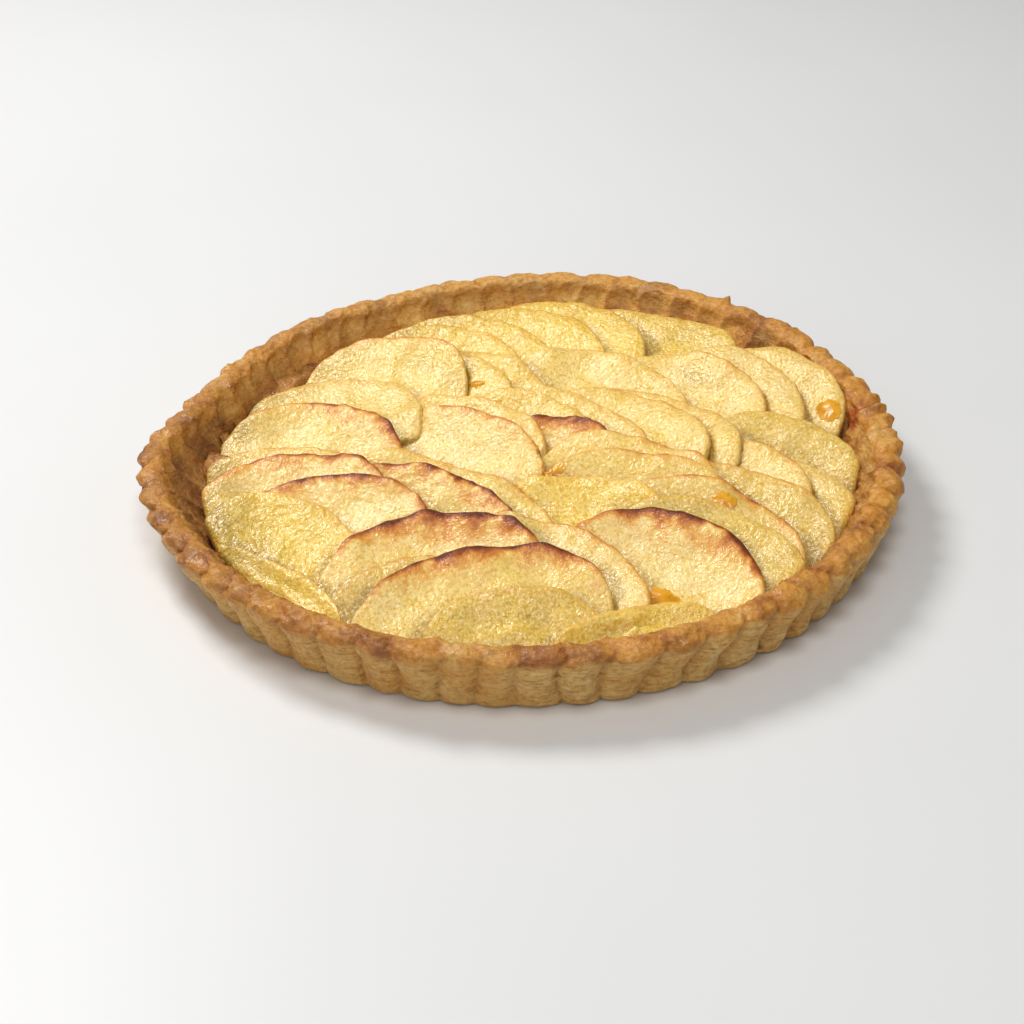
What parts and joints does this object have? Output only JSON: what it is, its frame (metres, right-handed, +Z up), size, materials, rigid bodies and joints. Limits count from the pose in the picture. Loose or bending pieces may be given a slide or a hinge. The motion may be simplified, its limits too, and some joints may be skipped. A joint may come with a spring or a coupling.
{
  "type": "apple tart",
  "caption": "Round fluted shortcrust tart turned out of its tin, filled with rows of overlapping browned half-moon apple slices under an apricot glaze.",
  "frame": {"origin": "centre of the flat underside of the pastry base", "axes": "+Z up, out of the fruit; +Y towards the back of the tart, where the first row of apple slices was laid; +X to the right seen from the front"},
  "size_m": [0.2421, 0.239, 0.0235],
  "materials": {
    "baked_shortcrust": "matte",
    "spiced_filling": "satin",
    "baked_apple": "satin",
    "apricot_glaze": "gloss"
  },
  "bodies": {
    "root": {"pastry_shell": "baked_shortcrust", "filling": "spiced_filling", "apple_1a": "baked_apple", "apple_1b": "baked_apple", "apple_1c": "baked_apple", "apple_1d": "baked_apple", "apple_1e": "baked_apple", "apple_2a": "baked_apple", "apple_2b": "baked_apple", "apple_2c": "baked_apple", "apple_2d": "baked_apple", "apple_2e": "baked_apple", "apple_2f": "baked_apple", "apple_2g": "baked_apple", "apple_2h": "baked_apple", "apple_3a": "baked_apple", "apple_3b": "baked_apple", "apple_3c": "baked_apple", "apple_3dA": "baked_apple", "apple_3dB": "baked_apple", "apple_3dC": "baked_apple", "apple_3dD": "baked_apple", "apple_4e": "baked_apple", "apple_3dE": "baked_apple", "apple_3e": "baked_apple", "apple_3f": "baked_apple", "apple_3g": "baked_apple", "apple_4h": "baked_apple", "apple_4f0": "baked_apple", "apple_4f": "baked_apple", "apple_4i": "baked_apple", "apple_4g": "baked_apple", "apple_4j": "baked_apple", "apple_4k": "baked_apple", "apple_4l": "baked_apple", "apple_4a0": "baked_apple", "apple_4b": "baked_apple", "apple_4a": "baked_apple", "apple_4c": "baked_apple", "apple_4d": "baked_apple", "apple_5a": "baked_apple", "apple_5b": "baked_apple", "apple_5c": "baked_apple", "apple_5d": "baked_apple", "apple_5e": "baked_apple", "apple_5f": "baked_apple", "apple_5g": "baked_apple", "apple_5h": "baked_apple", "glaze_front": "apricot_glaze", "glaze_middle": "apricot_glaze", "glaze_left": "apricot_glaze", "glaze_back": "apricot_glaze", "glaze_right": "apricot_glaze", "glaze_side": "apricot_glaze"}
  },
  "joints": []
}
